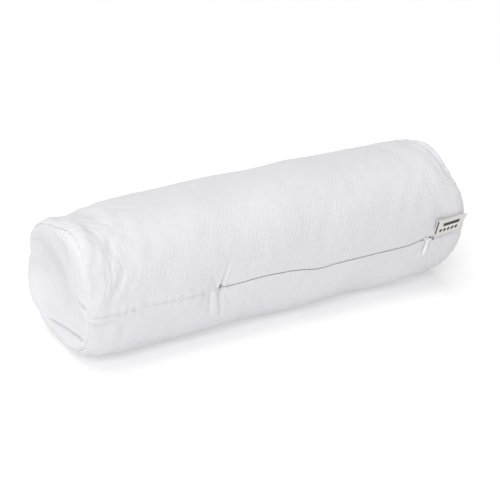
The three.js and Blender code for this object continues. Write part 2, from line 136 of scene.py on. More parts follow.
# ---- Folds: each is a path, its depth in mm (negative stands out), width, and fade along it ----
DIMPLE_X = ZIP_LEFT - 1.5
BODY_FOLDS = [  # over (x, distance above the seam)
    ([(DIMPLE_X, 0), (-76.5, 11), (-72.5, 21), (-69, 29)], 2.6, 1.5, 1.0),
    ([(DIMPLE_X, 0), (-81, -12), (-79, -26), (-77, -38)], 2.4, 1.9, 0.8),
    ([(DIMPLE_X + 1, 0), (-73, -11), (-67, -21)], 1.5, 1.5, 1.0),
    ([(-88, -3), (-87, -17), (-85, -30)], -1.5, 3.4, 0.8),
    ([(-93, -6), (-93, -20), (-90, -34)], 1.1, 2.4, 0.8),
    ([(-72, -2), (-62, -10), (-55, -22)], -0.7, 4.0, 0.7),
    ([(-85, 3), (-90, 14), (-93, 26)], 0.8, 2.4, 1.0),
    ([(-98, 0), (-101, -12), (-101, -26)], 0.7, 2.2, 1.0),
    ([(-226, -9), (-207, -8), (-190, -6)], 2.6, 1.5, 0.9),
    ([(-223, -3), (-207, -3.5), (-196, -3)], -0.9, 1.8, 1.0),
    ([(-210, 20), (-205, 34), (-203, 48)], 0.8, 1.5, 0.7),
    ([(-187, 54), (-186, 42), (-189, 28)], 0.5, 1.6, 0.6),
    ([(-197, 52), (-199, 38), (-203, 26)], 0.7, 1.4, 0.8),
    ([(-222, 88), (-213, 84), (-205, 74), (-199, 64)], 0.7, 1.7, 0.9),
    ([(-224, 100), (-214, 98), (-206, 92)], 1.6, 1.5, 0.9),
    ([(-224, 110), (-208, 108), (-194, 98), (-184, 84)], 1.0, 2.2, 0.9),
    ([(-222, 122), (-203, 118), (-188, 106)], 0.8, 2.4, 0.9),
    ([(-163, -62), (-159, -82), (-157, -104)], 2.8, 3.2, 0.5),
    ([(-230, 242), (-216, 242), (-206, 236)], 4.5, 10.0, 0.9),
    ([(-230, -184), (-218, -182), (-208, -176)], 3.2, 5.0, 0.9),
    ([(-28, -30), (-20, -44), (-8, -58)], 0.6, 3.6, 1.0),
    ([(-50, -24), (-44, -38), (-42, -52)], 0.5, 3.2, 1.0),
    ([(214, 126), (217, 104), (218, 84), (219, 60)], 1.9, 2.2, 0.3),
    ([(221, 102), (223, 86)], -1.7, 2.6, 0.5),
    ([(224, 40), (214, 46), (203, 48)], 0.9, 2.4, 1.0),
    ([(224, 66), (213, 70), (202, 70)], 1.1, 2.4, 1.0),
    ([(224, 92), (214, 98), (206, 100)], 1.0, 2.2, 1.0),
    ([(224, -34), (213, -40), (202, -42)], 0.9, 2.4, 1.0),
]

# The same on the left end panel, over (y, z)
PANEL_FOLDS = [
    ([(-58, 112), (-60, 102), (-64, 92)], 1.6, 1.8, 0.5),
    ([(-88, 82), (-76, 77), (-62, 77), (-46, 82), (-37, 89), (-31, 100)], 3.6, 2.4, 0.5),
    ([(82, 106), (68, 103), (54, 101), (36, 98)], 3.2, 3.6, 0.6),
    ([(84, 76), (68, 68), (50, 64)], 1.6, 5.0, 0.6),
    ([(-8, 56), (14, 62), (26, 74)], 0.8, 4.0, 0.7),
    ([(62, 17), (40, 20), (16, 24), (-26, 31), (-59, 37), (-84, 42)], 2.8, 2.0, 0.0),
    ([(-56, 132), (-59, 120), (-59, 108), (-63, 95)], 1.3, 2.2, 0.6),
]

# And on the right end panel
RIGHT_FOLDS = [
    ([(-66, 108), (-48, 101), (-30, 104)], 1.8, 2.6, 0.7),
    ([(70, 52), (48, 60), (22, 58)], 2.0, 3.2, 0.7),
    ([(-40, 14), (-26, 30), (-8, 38)], 1.6, 2.8, 0.8),
]

# The hollow of the left end panel: heights, and its front edge's y at each. The ridge runs along it.
HOLLOW_FRONT = (
    [30, 44, 50, 58, 75, 88, 98, 104, 112, 118],
    [-86, -84, -64, -42, -30, -28, -26, -20, -8, 10],
)
RIDGE = [(-16, 138), (-32, 130), (-41, 115), (-43, 100), (-48, 88), (-60, 74), (-80, 66)]


def crease(a, b, path, depth, width, fade):
    """Depth of one fold: full at its path's first point, and thinned towards its last by fade."""
    corners = np.array(path, float)
    lengths = np.hypot(*np.diff(corners, axis=0).T)
    best = np.full(np.shape(a), np.inf)
    along = np.zeros(np.shape(a))
    run = 0.0
    for start, end, length in zip(corners, corners[1:], lengths):
        step = (end - start) / length
        t = np.clip((a - start[0]) * step[0] + (b - start[1]) * step[1], 0, length)
        gap = np.hypot(a - start[0] - t * step[0], b - start[1] - t * step[1])
        along = np.where(gap < best, (run + t) / lengths.sum(), along)
        best = np.minimum(gap, best)
        run += length
    shape = np.exp(-((best / width) ** 2)) - 0.3 * np.exp(-(((best - 2.2 * width) / (1.2 * width)) ** 2))
    return depth * shape * (1 - fade * along) * (1 - smooth(0.85, 1.0, along) * min(fade * 2, 1))


def waves(a, b, rng, count, low, high):
    """A smooth random field of unit size, from a few sine waves with lengths from low to high."""
    total = np.zeros(np.shape(a))
    for _ in range(count):
        length = rng.uniform(low, high)
        heading = rng.uniform(0, 2 * np.pi)
        phase = rng.uniform(0, 2 * np.pi)
        total += np.sin((a * math.cos(heading) + b * math.sin(heading)) * 2 * np.pi / length + phase)
    return total / math.sqrt(count)


def towards(start, end):
    """A dent that grows along the roll from x = start to x = end."""
    return lambda x: smooth(start, end, x)


def close_to(centre, spread):
    """A dent that is deepest at x = centre."""
    return lambda x: blob(x, centre, spread)


# Broad dents: depth (negative stands out), where along the roll, distance above the seam, and spread
BROAD_DENTS = [
    (8.0, towards(-120, -203), 165, 42),
    (1.8, towards(20, -90), 160, 45),
    (11.0, towards(-194, -226), -114, 48),
    (-7.5, towards(-196, -226), -212, 17),
    (-3.0, towards(-190, -222), 70, 26),
    (5.0, towards(192, 226), -105, 48),
    (2.5, towards(200, 226), -48, 20),
    (-2.4, towards(196, 226), 28, 30),
    (1.6, close_to(160, 26), 160, 45),
    (4.4, towards(198, 226), 72, 22),
    (2.2, close_to(213, 12), 156, 20),
    (-1.6, towards(206, 222), 122, 12),
    (-1.8, close_to(-166, 16), 175, 30),
]
GROOVE_DEPTH = 0.5  # of the seam's groove, along the zip


def seam_dent(dent, x, s):
    """Adds the seam's groove, and the lap, ridge and puckers of its closed stretches."""
    closed = 1 - smooth(ZIP_LEFT - 4, ZIP_LEFT, x) * smooth(ZIP_RIGHT + 4, ZIP_RIGHT, x)
    dent = dent + (GROOVE_DEPTH + 0.35 * closed) * np.exp(-((s / 2.4) ** 2))
    lapped = closed * smooth(224, 212, np.abs(x)) * (s > 0)
    dent = dent - 0.7 * lapped * np.exp(-np.abs(s) / 4.5)
    dent = dent - 3.0 * smooth(-88, -125, x) * np.exp(-np.abs(s) / 28)
    dent = dent - 0.5 * np.exp(-(((s - 4.5) / 2.6) ** 2)) * closed
    pucker = np.sin(x * 2 * np.pi / 10.5 + 1.2 * np.sin(x * 2 * np.pi / 47))
    return dent + 0.3 * closed * pucker * np.exp(-((s / 7) ** 2))


def body_dent(x, b):
    """How far the cover's body is pressed in, in mm, at x and distance b round the roll."""
    s = above_seam(b)
    rng = np.random.default_rng(11)
    dent = 0.0
    for depth, along, centre, spread in BROAD_DENTS:
        dent = dent + depth * along(x) * round_blob(s, centre, spread)
    away = smooth(4, 30, np.abs(s))
    dent = dent + 0.9 * away * waves(x, b, rng, 9, 70, 150)
    dent = dent + 0.22 * away * waves(x, b, rng, 14, 16, 34) * (0.5 + smooth(-120, -215, x))
    dent = dent + 3.4 * blob(x, DIMPLE_X, 1.8) * blob(s, 0, 3.2)
    dent = dent + 2.6 * blob(x, DIMPLE_X, 10) * blob(s, 0, 11)
    dent = seam_dent(dent, x, s)
    rim = smooth(30, 0, HALF_LENGTH - np.abs(x))
    drawn = np.sin(b * 2 * np.pi / 13.3 + 1.7 * np.sin(b * 2 * np.pi / 71))
    dent = dent + 0.45 * rim * (drawn * np.sin(b * 2 * np.pi / 57))
    near_left = smooth(-150, -196, x) * smooth(5, 26, s) * smooth(140, 90, s)
    bent_x = x + 4 * waves(x, s, rng, 4, 40, 70)
    dent = dent + 0.42 * near_left * waves(bent_x, 0.4 * s, rng, 10, 9, 19)
    near_right = smooth(196, 220, x) * smooth(5, 26, np.abs(s))
    dent = dent + 0.30 * near_right * waves(0.4 * x, s, rng, 9, 10, 22)
    for path, depth, width, fade in BODY_FOLDS:
        dent = dent + crease(x, s, path, depth, width, fade)
    return dent - sample(PUCKERS, PUCKER_X, PUCKER_B, x, b)


def end_shift(x, b):
    """How far the cloth near each end leans along the roll, where its end isn't square."""
    s = above_seam(b)
    left = 4.0 * round_blob(s, 95, 24) - 2.0 * round_blob(s, -200, 30)
    right = 3.2 * round_blob(s, 24, 22) + 1.5 * round_blob(s, 118, 20)
    return left * smooth(-185, -226, x) + right * smooth(185, 226, x)


def seam_sway(x):
    """How far the seam wanders up, in mm: under 0.5 where the slider stops, and over 4 between."""
    sway = 2.1 * blob(x, -30, 22) - 3.2 * smooth(2, 36, x) * smooth(175, 150, x) - 1.2 * blob(x, 42, 9)
    return sway + 2.0 * blob(x, -162, 30) + 1.1 * smooth(-196, -215, x)


def rest_on_floor(z):
    """Flattens what would sink below the floor, with a soft edge."""
    blend = 0.4
    return 0.5 * (z + np.sqrt(z * z + blend * blend))


def body_point(x, b, inset, lift=0.0):
    """A point of the roll: inset from the cloth's base face, then lifted along its normal."""
    y, z, ny, nz = section_at(b, inset)
    out = lift - body_dent(x, b)
    near_seam = blob(above_seam(b), 0, 14)
    height = rest_on_floor(z + out * nz + near_seam * seam_sway(x))
    return np.stack([x + end_shift(x, b) + 0 * y, y + out * ny, height], -1)


# ---- Meshes ----
def make_object(name, points, faces, uvs=None):
    mesh = bpy.data.meshes.new(name)
    mesh.from_pydata((np.asarray(points, float).reshape(-1, 3) * MM).tolist(), [], faces)
    mesh.validate()
    mesh.polygons.foreach_set("use_smooth", [True] * len(mesh.polygons))
    if uvs is not None:
        layer = mesh.uv_layers.new(name="cloth")
        at = np.zeros(len(mesh.loops), dtype=np.int32)
        mesh.loops.foreach_get("vertex_index", at)
        layer.data.foreach_set("uv", np.asarray(uvs, float).reshape(-1, 2)[at].ravel())
    mesh.update()
    piece = bpy.data.objects.new(name, mesh)
    bpy.context.scene.collection.objects.link(piece)
    return piece


def grid_faces(rows, columns, wrap_rows=False, wrap_columns=False):
    faces = []
    for i in range(rows if wrap_rows else rows - 1):
        k = (i + 1) % rows
        for j in range(columns if wrap_columns else columns - 1):
            m = (j + 1) % columns
            faces.append((i * columns + j, i * columns + m, k * columns + m, k * columns + j))
    return faces


def disc_faces(side, rows, columns):
    """Rings closed in the middle, with the faces turned out at the left (side -1) or right (1) end."""
    faces = grid_faces(rows, columns, wrap_columns=True)
    faces.append(tuple(reversed(range(columns))))
    if side < 0:
        faces = [tuple(reversed(face)) for face in faces]
    return faces


def thicken(piece, thickness):
    """Gives a cloth sheet its thickness, inwards from the face that its normals point out of."""
    solid = piece.modifiers.new("cloth", "SOLIDIFY")
    solid.thickness = thickness * MM
    solid.offset = -1
    solid.use_even_offset = False
    apply_modifiers(piece)


def apply_modifiers(piece):
    depsgraph = bpy.context.evaluated_depsgraph_get()
    mesh = bpy.data.meshes.new_from_object(piece.evaluated_get(depsgraph))
    piece.modifiers.clear()
    piece.data = mesh


def finish_piece(piece, body, slot, node):
    """Gives a piece the material of its slot and its body, and hides the CAD node that it stands for."""
    piece.data.materials.clear()
    piece.data.materials.append(MATERIALS[slot])
    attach(piece, body)
    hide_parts(node)


def tube(name, path, radius, sides=6, closed=False):
    """A round thread along a path of points."""
    path = np.asarray(path, float)
    before = np.roll(path, 1, axis=0) if closed else np.vstack([path[:1], path[:-1]])
    after = np.roll(path, -1, axis=0) if closed else np.vstack([path[1:], path[-1:]])
    along = after - before
    along /= np.maximum(np.linalg.norm(along, axis=1), 1e-9)[:, None]
    guide = np.where(np.abs(along[:, 2:3]) > 0.9, [[1.0, 0.0, 0.0]], [[0.0, 0.0, 1.0]])
    side = np.cross(along, guide)
    side /= np.linalg.norm(side, axis=1)[:, None]
    up = np.cross(side, along)
    turn = np.linspace(0, 2 * np.pi, sides, endpoint=False)
    rings = path[:, None] + radius * (
        np.cos(turn)[None, :, None] * side[:, None] + np.sin(turn)[None, :, None] * up[:, None]
    )
    faces = grid_faces(len(path), sides, wrap_rows=closed, wrap_columns=True)
    if not closed:
        faces.append(tuple(reversed(range(sides))))
        faces.append(tuple(range((len(path) - 1) * sides, len(path) * sides)))
    return make_object(name, rings, [tuple(reversed(face)) for face in faces])


# ---- Cloth simulation ----
PUCKER_X = np.arange(-HALF_LENGTH, HALF_LENGTH + 1, 2.0)
PUCKER_B = np.linspace(0, GIRTH, 246)
PUCKERS = np.zeros((len(PUCKER_X), len(PUCKER_B)))
SIM_FRAMES = 20
SIM_PRESSURE = 4.0
SIM_CAP = 6.0
SIM_SLACK = 0.03
SIM_INSET = 3.0  # the pad swells, so it starts smaller
PUCKER_LIMIT = 1.1


def swollen(name, points, faces, pinned):
    """How far each point of a sheet moves when it is blown up by pressure with its seams held."""
    piece = make_object(name, points, faces)
    held = piece.vertex_groups.new(name="seams")
    held.add(np.flatnonzero(pinned).tolist(), 1.0, "REPLACE")
    cloth = piece.modifiers.new("cloth", "CLOTH")
    cloth.settings.quality = 5
    cloth.settings.mass = 0.2
    cloth.settings.tension_stiffness = 30
    cloth.settings.compression_stiffness = 10
    cloth.settings.shear_stiffness = 6
    cloth.settings.bending_stiffness = 0.1
    cloth.settings.use_pressure = True
    cloth.settings.uniform_pressure_force = SIM_PRESSURE
    cloth.settings.shrink_min = -SIM_SLACK
    cloth.settings.vertex_group_mass = held.name
    cloth.settings.effector_weights.gravity = 0
    cloth.collision_settings.use_collision = False
    cloth.point_cache.frame_start = 1
    cloth.point_cache.frame_end = SIM_FRAMES
    for step in range(1, SIM_FRAMES + 1):
        bpy.context.scene.frame_set(step)
    mesh = piece.evaluated_get(bpy.context.evaluated_depsgraph_get()).to_mesh()
    moved = np.zeros(3 * len(mesh.vertices), dtype=np.float32)
    mesh.vertices.foreach_get("co", moved)
    move = moved.reshape(-1, 3) / MM - np.asarray(points, float).reshape(-1, 3)
    bpy.data.objects.remove(piece)
    bpy.context.scene.frame_set(1)
    return move


def simulate_body():
    """The cover's puckers: the simulated swelling along the normal, less its broad part."""
    x = np.linspace(-HALF_LENGTH + 2, HALF_LENGTH - 2, 96)
    b = np.linspace(0, GIRTH, 104)
    grid_x, grid_b = np.meshgrid(x, b, indexing="ij")
    points = body_point(grid_x, grid_b, SIM_INSET + 0 * grid_x)
    pinned = np.zeros(grid_x.shape, bool)
    pinned[[0, -1], :] = True
    pinned[:, [0, -1]] = True
    move = swollen("cover_rig", points, grid_faces(*grid_x.shape), pinned.ravel())
    size = np.linalg.norm(move, axis=1)
    move *= np.minimum(1, SIM_CAP / np.maximum(size, 1e-6))[:, None]
    _, _, ny, nz = section_at(grid_b, 0.0)
    out = move[:, 1].reshape(grid_x.shape) * ny + move[:, 2].reshape(grid_x.shape) * nz
    fine_x, fine_b = np.meshgrid(PUCKER_X, PUCKER_B, indexing="ij")
    out = blurred(sample(out, x, b, fine_x, fine_b), 2)
    out = out - blurred(out, 60)
    off_seam = smooth(2, 16, np.abs(above_seam(fine_b)))
    free = off_seam * smooth(0, 6, HALF_LENGTH - 4 - np.abs(fine_x))
    middle = 0.35 + 0.65 * smooth(-150, -195, fine_x)
    return PUCKER_LIMIT * free * middle * np.tanh(out / 2.2)


# ---- Seam frame ----
SEAM_Y, SEAM_Z, SEAM_NY, SEAM_NZ = (float(v) for v in section_at(np.array(0.0), 0.0))


def seam_point(x, u, n, follow=True):
    """A point of the zip: u up across the seam and n out of it. It sinks with the cloth's dents."""
    x, u, n = np.broadcast_arrays(*(np.asarray(value, float) for value in (x, u, n)))
    out = n - (body_dent(x, np.mod(-u, GIRTH)) - GROOVE_DEPTH if follow else 0.0)
    rise = u + (seam_sway(x) if follow else 0.0)
    y = SEAM_Y + rise * SEAM_NZ + out * SEAM_NY
    z = SEAM_Z - rise * SEAM_NY + out * SEAM_NZ
    return np.stack([x, y, z], -1)


# ---- Cover ----
def opening(x):
    """Half the gap between the seam's two lips: closed, ajar along the zip, wide at the slider."""
    ajar = smooth(ZIP_LEFT - 1, ZIP_LEFT + 3, x) * smooth(ZIP_RIGHT + 2, ZIP_RIGHT - 1, x)
    eye = smooth(SLIDER_X - 8, SLIDER_X - 3.5, x) * smooth(ZIP_RIGHT + 1.5, ZIP_RIGHT - 3, x)
    return 0.05 + 0.25 * ajar + 1.55 * eye


# Stretches of the roll: start, end and spacing of the stations along it
STRETCHES = [
    (-213, -178, 1.3), (-178, -98, 2.0), (-98, -62, 0.9),
    (-62, 166, 2.2), (166, 190, 0.9), (190, 213, 1.5),
]


def body_stations():
    """(x, extra inset) along the roll, finer at the dimple and the ends, with both rims turned in."""
    middle = [(x, 0.0) for x in np.concatenate([np.arange(*stretch) for stretch in STRETCHES])]
    bend = np.linspace(0, np.pi / 2, 9)
    rim = [(HALF_LENGTH - SHOULDER + SHOULDER * math.sin(t), PUCKER * (1 - math.cos(t))) for t in bend]
    rim += [(HALF_LENGTH - back, PUCKER + turned) for back, turned in ((0.5, 0.7), (2, 1.0), (7, 1.2))]
    left = [(-x, extra) for x, extra in reversed(rim)]
    return np.array(left + middle[1:] + rim)


def lip_columns():
    """Across the cloth: (distance past the lip's edge, lift), for one folded edge, from inside out."""
    hem = [(6.0, -2 * FOLD_RADIUS), (3.0, -2 * FOLD_RADIUS), (1.2, -2 * FOLD_RADIUS)]
    bend = np.linspace(0, np.pi, 6)
    edge = [(FOLD_RADIUS * (1 - math.sin(t)), -FOLD_RADIUS * (1 + math.cos(t))) for t in bend]
    return hem + edge


def round_columns():
    """Distances round the roll between the two folds, close together at the seam."""
    near = 1.1 + np.cumsum(np.geomspace(0.6, 2.3, 14))
    count = int((GIRTH - 2 * near[-1]) / 2.3)
    far = np.linspace(near[-1], GIRTH - near[-1], count)[1:-1]
    return np.concatenate([near, far, GIRTH - near[::-1]])


def cover_grid():
    """The cover's points, column by column from the lower lip round to the upper one."""
    stations = body_stations()
    lip = lip_columns()
    around = round_columns()
    x = stations[:, 0][:, None]
    extra = stations[:, 1][:, None]
    gap = opening(x)
    past = np.array([p for p, _ in lip])[None, :]
    lift = np.array([l for _, l in lip])[None, :]
    lower = gap + past
    spread = gap * (np.exp(-around / 5.0) - np.exp(-(GIRTH - around) / 5.0))[None, :]
    b = np.concatenate([lower, around[None, :] + spread, GIRTH - lower[:, ::-1]], axis=1)
    lifts = np.concatenate([lift, 0 * around[None, :], lift[:, ::-1]], axis=1) + 0 * b
    points = body_point(x + 0 * b, b, extra + 0 * b, lifts)
    uvs = np.stack([x + 0 * b, -b], -1)
    return points, uvs


def add_cover_body():
    points, uvs = cover_grid()
    rows, columns = points.shape[:2]
    piece = make_object("cover_body", points, grid_faces(rows, columns), uvs)
    thicken(piece, CLOTH)
    finish_piece(piece, "cover", "cover_fabric", "cover_body_panel")


def make_hollow():
    """The left end panel's large shape, softened, over a square raster of (y, z)."""
    y, z = np.meshgrid(RASTER_Y, RASTER_Z, indexing="ij")
    front = np.interp(z, *HOLLOW_FRONT)
    reach = (np.abs(y / 74) ** EXPONENT + np.abs((z - AXIS_HEIGHT) / 70) ** EXPONENT) ** (1 / EXPONENT)
    inside = smooth(-4, 40, y - front)
    depth = 19.0 * blob(y, 30, 36) * blob(z, 66, 23) * smooth(1.0, 0.8, reach)
    lip_height = np.interp(y, [-78, -43, 8, 58], [56, 49, 41, 38])
    lip = 3.0 * blob(z, lip_height, 6) * smooth(1.05, 0.9, reach)
    ridge = crease(y, z, RIDGE, 3.4, 11.0, 0.1)
    puff = 2.5 * blob(y, -56, 16) * blob(z, 110, 22) + 3.5 * blob(y, 62, 15) * blob(z, 50, 17)
    puff = puff + 2.2 * blob(y, 14, 36) * blob(z, 128, 12)
    chin = 2.0 * blob(z, 18, 9) * blob(y, -12, 42)
    return blurred(inside * depth - lip - ridge - puff - chin, 8)


RASTER_Y = np.arange(-100, 100, 1.5)
RASTER_Z = np.arange(-20, 170, 1.5)
HOLLOW = make_hollow()


def left_relief(y, z):
    """How far the left end panel is sunk, towards +X, at (y, z)."""
    rng = np.random.default_rng(5)
    relief = sample(HOLLOW, RASTER_Y, RASTER_Z, y, z) + 0.4 * waves(y, z, rng, 9, 14, 40)
    for path, depth, width, fade in PANEL_FOLDS:
        relief = relief + crease(y, z, path, depth, width, fade)
    return relief


def right_relief(y, z):
    """The same on the right: a dome with radial gathers."""
    rng = np.random.default_rng(6)
    relief = -5.0 * blob(y, 0, 48) * blob(z, AXIS_HEIGHT + 8, 46)
    turn = np.arctan2(z - AXIS_HEIGHT, y)
    reach = np.hypot(y, z - AXIS_HEIGHT) / HALF_WIDTH
    gathers = np.sin(23 * turn + 2.0 * np.sin(3 * turn)) * (0.6 + 0.4 * np.sin(5 * turn + 1))
    relief = relief + 0.7 * gathers * smooth(0.5, 0.9, reach)
    for path, depth, width, fade in RIGHT_FOLDS:
        relief = relief + crease(y, z, path, depth, width, fade)
    return relief + 0.9 * waves(y, z, rng, 9, 22, 60)


def end_swell(side, around):
    """How far an end panel stands out just inside its seam, round the rim."""
    front = above_seam(around)
    if side > 0:
        return 1.6 + 0 * front
    swell = 1.6 + (2.4 * round_blob(front, -80, 34) + 2.2 * round_blob(front, 88, 26))
    return swell - 0.8 * round_blob(front, 160, 34)


def seam_allowance(rim, centre, side):
    """Two rings of cloth turned in behind an end seam."""
    outward = rim[:, 1:] - centre[1:]
    outward /= np.linalg.norm(outward, axis=1)[:, None]
    rings = []
    for depth, shrink in ((2.0, 0.4), (7.0, 0.7)):
        turned = rim.copy()
        turned[:, 1:] -= shrink * outward
        turned[:, 0] -= side * depth
        rings.append(turned)
    return rings


def add_cover_end(side, word, relief):
    around = np.linspace(0, GIRTH, 300, endpoint=False)
    seam_x = side * (HALF_LENGTH - 1)
    rim = body_point(np.full(around.shape, seam_x), around, PUCKER + 1.0)
    centre = np.array([seam_x, 0.0, AXIS_HEIGHT])
    swell = end_swell(side, around)
    swell_width = 0.05
    rings = []
    for q in np.concatenate([np.linspace(0.02, 0.86, 60), np.linspace(0.875, 1.0, 14)]):
        ring = centre + q * (rim - centre)
        edge = 1 - smooth(0.88, 1.0, np.array(q))
        puff = swell * (1 - q) / swell_width * math.exp(1 - (1 - q) / swell_width)
        ring[:, 0] += side * (puff - edge * relief(ring[:, 1], ring[:, 2]))
        rings.append(ring)
    points = np.array(rings + seam_allowance(rim, centre, side))
    faces = disc_faces(side, *points.shape[:2])
    piece = make_object(f"cover_end_panel_{word}", points, faces, points[..., 1:])
    thicken(piece, CLOTH)
    finish_piece(piece, "cover", "cover_fabric", f"cover_end_{word}")


# ---- Threads ----
def add_threads():
    for side, word in ((-1, "left"), (1, "right")):
        around = np.linspace(0, GIRTH, 150, endpoint=False)
        seam_x = np.full(around.shape, side * (HALF_LENGTH - 4.0))
        path = body_point(seam_x, around, PUCKER + 3.2)
        ring = tube(f"end_seam_stitching_{word}", path, 0.25, closed=True)
        finish_piece(ring, "cover", "sewing_thread", f"end_seam_thread_{word}")
    for word in ("left", "right"):
        low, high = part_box(f"side_seam_thread_{word}")
        x = np.arange(low.x / MM, high.x / MM, 1.5)
        stitch = tube(f"side_seam_stitching_{word}", seam_point(x, 0.0, -2.0), 0.25)
        finish_piece(stitch, "cover", "sewing_thread", f"side_seam_thread_{word}")
    for word, up in (("upper", 1), ("lower", -1)):
        x = np.arange(ZIP_LEFT, ZIP_RIGHT, 1.5)
        stitch = tube(f"zip_stitching_{word}", seam_point(x, up * 9.0, -1.9), 0.22)
        finish_piece(stitch, "cover", "sewing_thread", f"zip_stitch_{word}")
    passes = 15
    step = np.arange(2 * passes)
    u = np.where(step % 2 == 0, -2.2, 2.2)
    for word in ("left", "right"):
        low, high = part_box(f"bar_tack_{word}")
        x = (low.x + high.x) / 2 / MM + np.linspace(-0.8, 0.8, len(step))
        tack = tube(f"bar_tack_stitches_{word}", seam_point(x, u, 0.55), 0.16)
        finish_piece(tack, "cover", "sewing_thread", f"bar_tack_{word}")


# ---- Zip ----
def add_tapes():
    """Each tape starts behind its coil, steps out past it, and lies on the back of the hem."""
    across = np.array([0.9, 2.0, 3.2, 4.4, 5.2, 5.7, 6.2, 7.0, 8.5, 10.5, 12.5])
    depth = np.array([-5.55, -5.55, -5.55, -5.5, -4.95, -4.1, -3.3, -2.65, -2.65, -2.65, -2.65])
    x = np.linspace(TAPE_LEFT, TAPE_RIGHT, 200)
    for word, up in (("upper", 1), ("lower", -1)):
        points = seam_point(x[:, None], up * across[None, :], depth[None, :])
        faces = grid_faces(len(x), len(across))
        if up > 0:
            faces = [tuple(reversed(face)) for face in faces]
        uvs = np.stack(np.broadcast_arrays(x[:, None], across[None, :]), -1)
        piece = make_object(f"zip_tape_cloth_{word}", points, faces, uvs)
        thicken(piece, 0.45)
        finish_piece(piece, "cover", "zip_tape", f"zip_tape_{word}")


def add_coils():
    pitch, steps = 1.25, 10
    count = int((COIL_RIGHT - COIL_LEFT) / pitch * steps)
    turn = np.arange(count) * 2 * np.pi / steps
    x = COIL_LEFT + np.arange(count) * pitch / steps
    splay = 0.75 * smooth(SLIDER_X - 2.8, SLIDER_X + 1.2, x)
    for word, up in (("upper", 1), ("lower", -1)):
        u = 0.95 + splay + 0.55 * np.cos(turn + (np.pi if up < 0 else 0))
        n = -4.0 + 0.65 * np.sin(turn)
        piece = tube(f"zip_coil_turns_{word}", seam_point(x, up * u, n), 0.22, sides=5)
        finish_piece(piece, "cover", "zip_nylon", f"zip_coil_{word}")


def bevelled(name, node, width):
    """A copy of a CAD node with its sharp edges rounded."""
    piece = bpy.data.objects.new(name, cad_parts[node].data.copy())
    bpy.context.scene.collection.objects.link(piece)
    bevel = piece.modifiers.new("edges", "BEVEL")
    bevel.width = width * MM
    bevel.segments = 3
    bevel.limit_method = "ANGLE"
    bevel.angle_limit = math.radians(40)
    apply_modifiers(piece)
    piece.data.polygons.foreach_set("use_smooth", [True] * len(piece.data.polygons))
    piece.data.update()
    return piece


def add_hardware():
    for node, body in (("zip_slider_body", "slider"), ("zip_pull_tab", "pull_tab")):
        piece = bevelled(f"{node}_rounded", node, 0.14)
        finish_piece(piece, body, "slider_enamel", node)
    for word in ("top_stop_upper", "top_stop_lower"):
        piece = bevelled(f"zip_{word}_rounded", f"zip_{word}", 0.2)
        finish_piece(piece, "cover", "zip_nylon", f"zip_{word}")
    stop = bevelled("zip_bottom_stop_rounded", "zip_bottom_stop", 0.2)
    low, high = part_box("zip_bottom_stop")
    middle = (low.x + high.x) / 2 / MM
    sink = seam_point(middle, 0, 0) - seam_point(middle, 0, 0, follow=False)
    stop.data.transform(Matrix.Translation(Vector(sink * MM)))
    finish_piece(stop, "cover", "zip_nylon", "zip_bottom_stop")


# ---- Label ----
LABEL_HEIGHT = 18.5

# The label's loop, up its back and down its front: (u up from the seam, n off the cloth, v on its map)
LABEL_PROFILE = [
    (0.4, 0.7, 0.0), (4, 0.75, 3.6), (8, 0.9, 7.6), (12, 1.1, 11.6), (15.5, 1.3, 15.1),
    (17.6, 1.5, 17.2), (18.3, 1.7, 18.0), (18.5, 2.05, 18.5), (18.3, 2.4, 18.0),
    (17.6, 2.5, 17.2), (15.5, 2.3, 15.1), (12, 2.0, 11.6), (8, 1.75, 7.6), (4, 1.5, 3.6), (0.4, 1.25, 0.0),
]


def add_label():
    """The folded label. It leans, and widens towards its fold, as the photograph shows it."""
    low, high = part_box("woven_label")
    length = (high.x - low.x) / MM
    u, n, v = (np.array(column) for column in zip(*LABEL_PROFILE))
    t = np.linspace(0, 1, 40)[:, None]
    rise = (u / LABEL_HEIGHT)[None, :]
    x = low.x / MM - 2 + t * (length - 2) + rise * (3.6 + 4.8 * t)
    flare = rise * 0.6 + 0.35 * np.sin(t * 7.0) * rise
    lifted = u[None, :] * (1.11 - 0.06 * t) + t * t * (2.3 + 0.6 * rise)
    points = seam_point(x, lifted, n[None, :] + flare, follow=False)
    faces = grid_faces(len(t), len(u))
    uvs = np.stack(np.broadcast_arrays(t * length, v[None, :] + 0 * t), -1)
    piece = make_object("woven_label_fold", points, faces, uvs)
    thicken(piece, 0.3)
    finish_piece(piece, "cover", "label_weave", "woven_label")


# ---- Inside ----
CASING_RIM = 208.0
CASING_CLOTH = 0.6


def inner_tube(rim, shoulder, pucker, inset):
    """A tube inside the cover, with rounded ends and a groove behind the zip, and its round distances."""
    bend = np.linspace(0, np.pi / 2, 7)
    reach = np.array([rim - shoulder + shoulder * math.sin(t) for t in bend])
    turned = np.array([pucker * (1 - math.cos(t)) for t in bend])
    straight = np.arange(-rim + shoulder + 4, rim - shoulder, 5.0)
    x = np.concatenate([-reach[::-1], straight, reach])
    extra = np.concatenate([turned[::-1], 0 * straight, turned])
    b = np.linspace(0, GIRTH, 150, endpoint=False)
    groove = 4.8 * smooth(10.5, 7.0, np.abs(above_seam(b)))
    full = inset + extra[:, None] + groove[None, :]
    clear = 3.0 * smooth(-150, -200, x)[:, None]
    return body_point(x[:, None] + 0 * full, b[None, :] + 0 * full, full + clear), b


